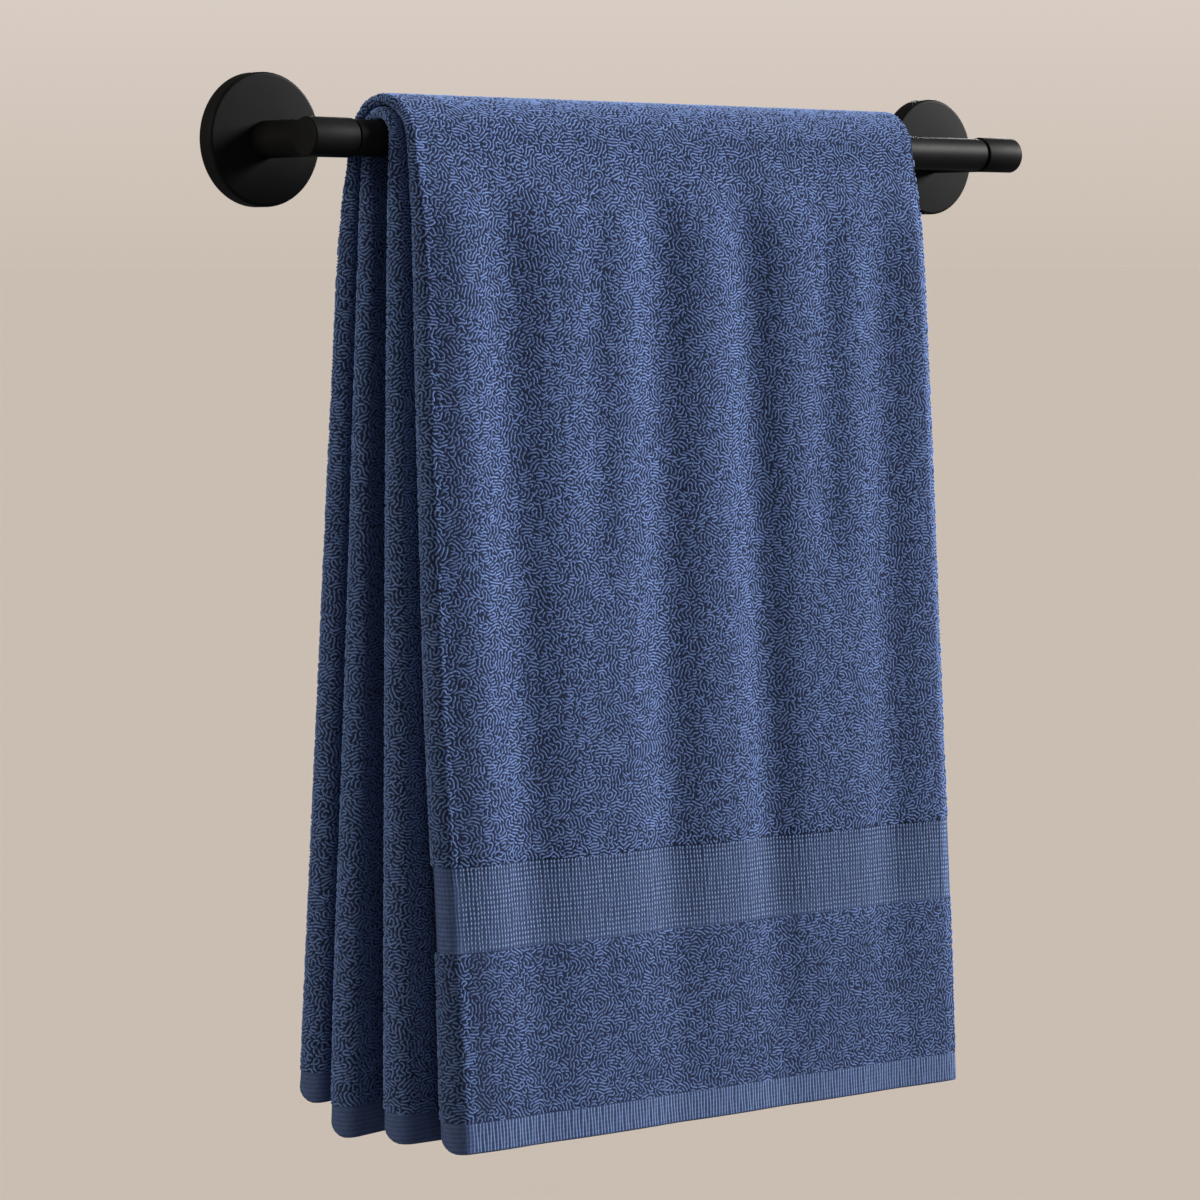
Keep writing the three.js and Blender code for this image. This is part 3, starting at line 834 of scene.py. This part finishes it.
def cut_loops(rng, lines, allowed, turn):
    """Cuts lines into short worm-like loops, each an array of points."""
    loops = []
    ends = np.cumsum([len(line) for line in lines])[:-1]
    for line, inside in zip(lines, np.split(allowed(np.concatenate(lines)), ends)):
        edges = np.flatnonzero(np.diff(inside.astype(int))) + 1
        for run in np.split(np.arange(len(line)), edges):
            if not inside[run[0]] or len(run) < LOOP_POINTS:
                continue
            points = line[run]
            hops = np.hypot(*np.diff(points, axis=0).T)
            along = np.concatenate([[0], np.cumsum(hops)])
            at = 0.0
            while along[-1] - at > LOOP_SHORTEST:
                length = rng.uniform(LOOP_SHORTEST, LOOP_LONGEST)
                stop = min(at + length, along[-1])
                if along[-1] - stop < LOOP_SHORTEST:
                    stop = min(along[-1], at + LOOP_LONGEST * LOOP_STRETCH)
                step = loop_step(turn, *(np.interp(at, along, points[:, k]) for k in (0, 1)))
                count = max(LOOP_POINTS, round((stop - at) / step) + 1)
                where = np.linspace(at, stop, count)
                loop = [np.interp(where, along, points[:, k]) for k in (0, 1)]
                loops.append(np.stack(loop, axis=1))
                at = stop - LOOP_OVERLAP
    return loops


def turn_normals(turn, points):
    """The cloth's own outward normals at points (u, v) of a turn."""
    reach = GRID / 2
    low = np.zeros(len(points))
    here = on_turn(turn, *points.T, low)
    beside = on_turn(turn, *(points + [reach, 0]).T, low) - here
    along = on_turn(turn, *(points + [0, reach]).T, low) - here
    normal = np.cross(beside, along)
    outward = on_turn(turn, *points.T, low + 1) - here
    normal *= np.sign((normal * outward).sum(axis=1))[:, None]
    return normal / np.linalg.norm(normal, axis=1)[:, None]


def ease_normals(obj, cloth_normals, softness):
    """Turns a piece's shading part of the way to the cloth's own, as soft yarn scatters light."""
    own = np.zeros(len(obj.data.vertices) * 3, np.float32)
    obj.data.vertex_normals.foreach_get("vector", own)
    eased = mix(own.reshape(-1, 3), cloth_normals, softness)
    eased /= np.linalg.norm(eased, axis=1)[:, None]
    obj.data.normals_split_custom_set_from_vertices(eased.tolist())


def ridge_faces(base, tip, last):
    """The faces of ridges that have one mesh point at a tip, and a left foot, a top and a right
    foot at any other place. base is the first mesh point of each place."""
    here = np.delete(np.arange(len(base)), last)
    opening, closing = tip[here], tip[here + 1]
    between = ~opening & ~closing
    a, b = base[here], base[here + 1]
    kinds = [
        (between, [a, a + 1, b + 1, b]),
        (between, [a + 1, a + 2, b + 2, b + 1]),
        (opening, [a, b + 1, b]),
        (opening, [a, b + 2, b + 1]),
        (closing, [a, a + 1, b]),
        (closing, [a + 1, a + 2, b]),
    ]
    faces = []
    for chosen, corners in kinds:
        faces += np.stack(corners, 1)[chosen].tolist()
    return faces


def ridges(name, turn, lines, heights, widths, feet, tops, material, softness):
    """Raised threads along lines on a turn, each a ridge that starts and ends in a point.
    lines are arrays of (u, v), and heights, widths and the shades of feet and tops have a
    value for each point. Also returns the line to which each point of the mesh belongs."""
    counts = np.array([len(line) for line in lines])
    points = np.concatenate(lines)
    height = np.concatenate(heights)
    width = np.concatenate(widths)
    last = np.cumsum(counts) - 1
    first = last - counts + 1
    tip = np.zeros(len(points), bool)
    tip[first] = True
    tip[last] = True
    ahead = np.minimum(np.arange(len(points)) + 1, len(points) - 1)
    behind = np.maximum(np.arange(len(points)) - 1, 0)
    ahead[last] = last
    behind[first] = first
    along = points[ahead] - points[behind]
    along /= np.hypot(along[:, 0], along[:, 1])[:, None]
    across = np.stack([along[:, 1], -along[:, 0]], axis=1) * (width / 2)[:, None]
    foot = np.full(len(points), -ROOT_SINK)
    left = on_turn(turn, *(points + across).T, foot)
    right = on_turn(turn, *(points - across).T, foot)
    top = on_turn(turn, *points.T, np.where(tip, -ROOT_SINK, height))
    outward = turn_normals(turn, points)
    if (np.cross(right - left, top[ahead] - top[behind]) * outward).sum() < 0:
        left, right = right, left
    size = np.where(tip, 1, 3)
    base = np.cumsum(size) - size
    verts = np.zeros((size.sum(), 3))
    crest = np.zeros(len(verts))
    verts[base[tip]] = top[tip]
    body = ~tip
    verts[base[body]] = left[body]
    verts[base[body] + 1] = top[body]
    verts[base[body] + 2] = right[body]
    foot_shade = np.concatenate(feet)
    crest[base[tip]] = foot_shade[tip]
    crest[base[body]] = crest[base[body] + 2] = foot_shade[body]
    crest[base[body] + 1] = np.concatenate(tops)[body]
    obj = new_object(name, verts, ridge_faces(base, tip, last), material)
    point_values(obj, "crest", crest)
    ease_normals(obj, np.repeat(outward, size, axis=0), softness)
    obj.visible_shadow = False
    return obj, np.repeat(np.repeat(np.arange(len(lines)), counts), size)


def pile_patch(rng, turn, u_range, v_range):
    """The loops on the outside of a turn: u_range gives the lowest and highest u at v."""
    v_low, v_high = v_range
    low, high = u_range(np.arange(v_low, v_high, GRID))
    u_low = low.min()
    shape = [int((stop - start) / GRID) + 2 for start, stop in ((u_low, high.max()), v_range)]
    lines = [line * GRID + np.array([u_low, v_low]) for line in zero_lines(wave_field(rng, shape))]

    def allowed(places):
        u, v = places.T
        lowest, highest = u_range(v)
        free = (u > lowest) & (u < highest) & (v < v_high)
        if TURNS[turn]["layers"][0] == 0:
            drop = v - ARCH_REACH
            in_border = (drop > BAND_TOP + FRAY) & (drop < BAND_BOTTOM - FRAY)
            free &= ~in_border | (u < lowest + BEYOND_A / 2)
        return free

    return cut_loops(rng, lines, allowed, turn)


def pile_pieces(rng, name, turn, loops, material):
    """Loops as joined meshes, split along the cloth so that none has too many triangles."""
    loops = sorted(loops, key=lambda loop: loop[:, 1].mean())
    triangles = np.cumsum([4 * (len(loop) - 2) for loop in loops])
    parts = int(triangles[-1] / PILE_LIMIT) + 1
    which = np.minimum((triangles * parts / (triangles[-1] + 1)).astype(int), parts - 1)
    pieces = []
    for k in range(parts):
        chosen = [loops[i] for i in np.flatnonzero(which == k)]
        full_pile = sizes(np.concatenate(chosen)[:, 1])["pile"]
        ends = np.cumsum([len(loop) for loop in chosen])[:-1]
        heights, widths, feet, tops = [], [], [], []
        for loop, pile in zip(chosen, np.split(full_pile, ends)):
            share = np.linspace(0, 1, len(loop))
            rounded = np.sin(math.pi * np.clip(share, TIP_SHARE, 1 - TIP_SHARE)) ** TIP_FULLNESS
            heights.append(rng.uniform(*HEIGHT_SPREAD) * rounded * pile)
            widths.append(np.full(len(loop), LOOP_WIDTH * rng.uniform(*WIDTH_SPREAD)))
            shadow = (TURNS[turn]["side"] < 0) * (1 - smooth(loop[:, 0], -SHADOW_RUN, 0))
            feet.append(SIDE_FOOT * shadow)
            tops.append(mix(1, SIDE_TOP, shadow))
        piece = name if parts == 1 else f"{name}_{k + 1}"
        shades = (feet, tops, material, YARN_SOFTNESS)
        obj, owner = ridges(piece, turn, chosen, heights, widths, *shades)
        # Each loop's tone differs at random; the painted highlight and painted shade by fold A's edge
        # are added to it below
        tone_and_painted_light = rng.uniform(0, 1, len(chosen))
        if turn == "fold_a":
            u, v = np.array([loop.mean(axis=0) for loop in chosen]).T
            # Painted highlight on the loops along fold A's edge
            tone_and_painted_light += EDGE_PAINTED_HIGHLIGHT * np.exp(-((u / EDGE_PAINTED_HIGHLIGHT_WIDTH) ** 2))
            # Painted shade beside that edge, where the cloth dips away from the light
            tone_and_painted_light -= EDGE_PAINTED_SHADE * np.exp(-(((u - EDGE_PAINTED_SHADE_AT) / EDGE_PAINTED_SHADE_WIDTH) ** 2))
            tone_and_painted_light -= LOW_SHADE * smooth(v - ARCH_REACH, LOW_FROM, FRONT["length"])
        point_values(obj, "tone_and_painted_light", tone_and_painted_light[owner])
        pieces.append(obj)
    return pieces


def whole_outside(v):
    """From a little way round fold A's far side to the right edge of layer 0."""
    s = sizes(v)
    reach = turn_sizes(s, "fold_a")[3]
    return -math.pi * reach - BEYOND_A, s["x_right"][0] - s["x_left"][0]


def turn_range(name, before, beyond):
    """A stretch round a turn, with a little of the faces before and past it."""

    def at(v):
        reach = turn_sizes(sizes(v), name)[3]
        return -math.pi * reach - beyond, np.full_like(reach, before)

    return at


def pile(material):
    rng = np.random.default_rng(SEED)
    back_end = HEM_DEPTH - FRAY - BACK["length"] - ARCH_REACH
    front_end = FRONT["length"] - HEM_DEPTH + FRAY + ARCH_REACH
    patches = [("pile_outside", "fold_a", whole_outside)]
    for turn, (before, beyond) in PILE_REACH.items():
        patches.append((f"pile_{turn}", turn, turn_range(turn, before, beyond)))
    pieces = []
    for name, turn, u_range in patches:
        loops = pile_patch(rng, turn, u_range, (back_end, front_end))
        pieces += pile_pieces(rng, name, turn, loops, material)
    return pieces


def ribs(name, rib, half, low, high, material, dots=False):
    """Upright ribs of the weave across the outside, between two drops."""
    rng = np.random.default_rng(SEED)
    side = BAND_SIDE if dots else HEM_SIDE
    middle = np.array([ARCH_REACH + (low + high) / 2])
    direction = 1 if half is FRONT else -1
    start = -math.pi / 2 * turn_sizes(sizes(middle), "fold_a")[3]
    stop = whole_outside(direction * middle)[1]
    lines, heights, widths, feet, tops, lined = [], [], [], [], [], []
    for u in np.arange(start[0], stop[0], rib["pitch"]):
        count = round((high - low) / rib["step"]) + 1
        drop = np.linspace(low, high, count)
        phase = rng.uniform(0, 6)
        sway = RIB_SWAY * np.sin(drop / RIB_WAVER + phase) + rng.normal(0, RIB_DRIFT)
        lines.append(np.stack([u + sway, direction * (ARCH_REACH + drop)], axis=1))
        dot = np.full(count, HEM_CREST)
        if dots:
            dot = np.cos(math.pi * (drop / rib["dot_pitch"] + rng.normal(0, DOT_DRIFT))) ** 2
        on_face = smooth(u, *RIB_START)
        rise = mix(RIB_FLAT, mix(DOT_GAP, 1, dot), on_face)
        heights.append(rib["height"] * rng.uniform(*RIB_SPREAD) * rise)
        widths.append(np.full(count, rib["width"]))
        # Painted shade at the ribs' feet and painted light on their tops, lightest on the dots
        feet.append(np.full(count, mix(side["shade"], RIB_FOOT, on_face)))
        tops.append(mix(side["shade"], mix(*RIB_TOP, dot), on_face))
        lined.append(side["lined"] * (1 - on_face))
    shades = (feet, tops, material, RIB_SOFTNESS)
    obj, owner = ridges(name, "fold_a", lines, heights, widths, *shades)
    point_values(obj, "lined", np.array(lined)[owner])
    return obj


def towel(loops, ground, weave):
    cloth = towel_sheet(ground, weave)
    extras = pile(loops)
    extras.append(ribs("border_ribs", BAND_RIB, FRONT, BAND_TOP, BAND_BOTTOM, weave, dots=True))
    for name, half in (("hem_ribs_front", FRONT), ("hem_ribs_back", BACK)):
        top = half["length"] - HEM_DEPTH
        extras.append(ribs(name, HEM_RIB, half, top, half["length"] - HEM_RIB_STOP, weave))
    return cloth, extras


# Stage


def sun(name, azimuth, height, strength, softness, colour):
    data = bpy.data.lights.new(name, "SUN")
    data.energy = strength
    data.angle = math.radians(softness)
    data.color = colour
    obj = bpy.data.objects.new(name, data)
    bpy.context.scene.collection.objects.link(obj)
    obj.rotation_euler = (math.radians(90 - height), 0, math.radians(azimuth))


def studio_world():
    """A pale surround behind the bar, with a gentler light of its own on the object."""
    world = bpy.data.worlds.new("studio")
    bpy.context.scene.world = world
    world.use_nodes = True
    tree = world.node_tree
    lighting = tree.nodes["Background"]
    lighting.inputs["Color"].default_value = (*AMBIENT, 1)
    behind = tree.nodes.new("ShaderNodeBackground")
    where = tree.nodes.new("ShaderNodeTexCoord")
    height = tree.nodes.new("ShaderNodeSeparateXYZ")
    shade = tree.nodes.new("ShaderNodeValToRGB")
    low, high = shade.color_ramp.elements
    low.color = (*SURROUND_LOW, 1)
    high.color = (*SURROUND_HIGH, 1)
    high.position = SURROUND_RISE
    tree.links.new(where.outputs["Generated"], height.inputs[0])
    tree.links.new(height.outputs["Z"], shade.inputs[0])
    tree.links.new(shade.outputs[0], behind.inputs["Color"])
    rays = tree.nodes.new("ShaderNodeLightPath")
    chosen = tree.nodes.new("ShaderNodeMixShader")
    tree.links.new(rays.outputs["Is Camera Ray"], chosen.inputs[0])
    tree.links.new(lighting.outputs[0], chosen.inputs[1])
    tree.links.new(behind.outputs[0], chosen.inputs[2])
    tree.links.new(chosen.outputs[0], tree.nodes["World Output"].inputs[0])


def stage():
    camera = bpy.data.objects.new("camera", bpy.data.cameras.new("camera"))
    bpy.context.scene.collection.objects.link(camera)
    bpy.context.scene.camera = camera
    camera.location = CAMERA_PLACE
    camera.rotation_euler = (math.radians(90 + CAMERA_PITCH), 0, math.radians(CAMERA_YAW))
    camera.data.lens = CAMERA_LENS
    camera.data.sensor_width = CAMERA_SENSOR
    camera.data.shift_y = CAMERA_SHIFT

    on_floor = np.array(AMBIENT)
    for name, azimuth, height, strength, softness, colour in LIGHTS:
        sun(name, azimuth, height, strength, softness, colour)
        on_floor += np.array(colour) * strength * math.sin(math.radians(height)) / math.pi
    studio_world()
    bpy.context.scene.view_settings.view_transform = "Standard"

    paint = Nodes("pale_floor")
    pale = FLOOR_MATCH * np.array(SURROUND_LOW) / on_floor
    paint.shader.inputs["Base Color"].default_value = (*pale, 1)
    paint.shader.inputs["Roughness"].default_value = 1
    paint.shader.inputs["Specular IOR Level"].default_value = 0
    edge = FLOOR_SIZE / 2
    corners = [(-edge, -edge), (edge, -edge), (edge, edge), (-edge, edge)]
    points = [(x, y, -FLOOR_DROP) for x, y in corners]
    floor = new_object("floor", points, [[0, 1, 2, 3]], paint.material)
    floor.visible_diffuse = False
    floor.visible_glossy = False


def bar_set(metal):
    """Each finely turned piece, with the CAD node that it stands for."""
    made = [(bar(metal), "bar")]
    for side, x, outward in (("left", 0, -1), ("right", BAR_SPAN, 1)):
        made.append((wall_plate(side, x, metal), f"plate_{side}"))
        made.append((post(side, x, metal), f"post_{side}"))
        made.append((sleeve(side, x, outward, metal), f"sleeve_{side}"))
    for piece, node in made:
        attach(piece, "root")
        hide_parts(node)
    return made[0][0]


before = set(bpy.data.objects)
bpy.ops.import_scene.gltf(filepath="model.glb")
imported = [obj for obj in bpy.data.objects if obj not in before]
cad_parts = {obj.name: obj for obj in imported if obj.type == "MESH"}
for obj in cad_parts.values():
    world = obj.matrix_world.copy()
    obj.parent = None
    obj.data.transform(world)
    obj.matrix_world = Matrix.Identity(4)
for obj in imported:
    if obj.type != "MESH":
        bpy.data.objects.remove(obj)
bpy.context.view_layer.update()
stage()
rail = bar_set(metal_material())
cloth, extras = towel(loop_material(), ground_material(), weave_material())
for piece in [cloth, *extras]:
    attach(piece, "root")
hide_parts("towel")
